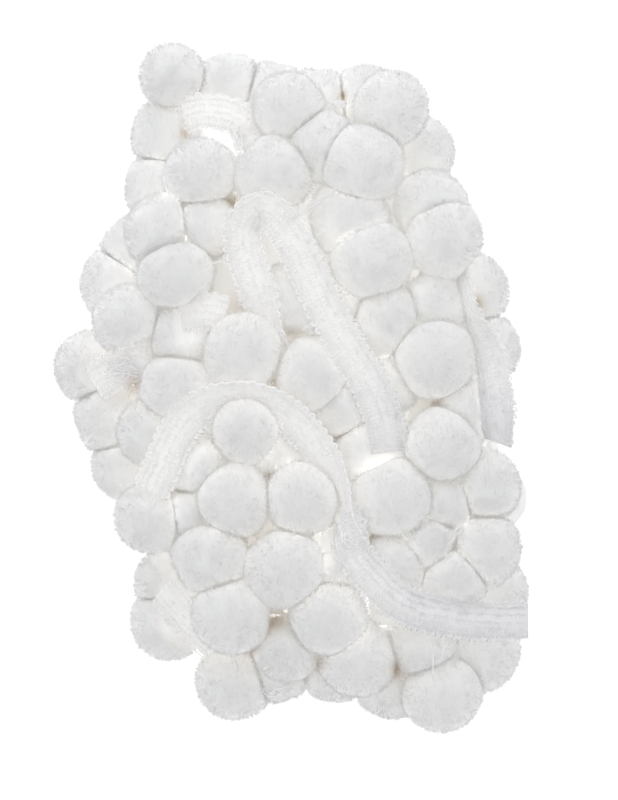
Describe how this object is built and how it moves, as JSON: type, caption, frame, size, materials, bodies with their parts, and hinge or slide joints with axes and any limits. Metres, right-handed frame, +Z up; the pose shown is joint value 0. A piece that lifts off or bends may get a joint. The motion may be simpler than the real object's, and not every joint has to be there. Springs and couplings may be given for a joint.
{
  "type": "pompom fringe trim",
  "caption": "Bundle of white pompom trim: knitted heading tape folded back and forth, with soft cut-yarn balls tied along one edge.",
  "frame": {"origin": "on the surface it lies on, under the middle of the bundle's bounding box", "axes": "+Z up from the surface, +Y along the bundle's length towards the top of the picture, +X across it to the picture's right"},
  "size_m": [0.1276, 0.1858, 0.0412],
  "materials": {
    "knit_tape": "matte knitted white tape",
    "cut_yarn": "soft cut pile, matte white"
  },
  "bodies": {
    "root": {"fringe_left_lower_1": "cut_yarn", "fringe_left_upper_1": "cut_yarn", "fringe_left_lower_2": "cut_yarn", "fringe_left_upper_2": "cut_yarn", "fringe_left_lower_3": "cut_yarn", "fringe_left_upper_3": "cut_yarn", "fringe_right_lower_1": "cut_yarn", "fringe_right_upper_1": "cut_yarn", "fringe_right_lower_2": "cut_yarn", "fringe_right_upper_2": "cut_yarn", "fringe_right_lower_3": "cut_yarn", "fringe_right_upper_3": "cut_yarn", "fringe_peak_run": "cut_yarn", "fringe_wave_run": "cut_yarn", "fringe_side_run": "cut_yarn", "fringe_left_peep_run": "cut_yarn", "fringe_notch_run": "cut_yarn", "fringe_corner_run": "cut_yarn", "tape_left_folds": "knit_tape", "tape_right_folds": "knit_tape", "tape_top_run": "knit_tape", "tape_peak_run": "knit_tape", "tape_wave_run": "knit_tape", "tape_side_run": "knit_tape", "tape_corner_run": "knit_tape", "tape_left_peep_run": "knit_tape", "tape_notch_run": "knit_tape"}
  },
  "joints": []
}
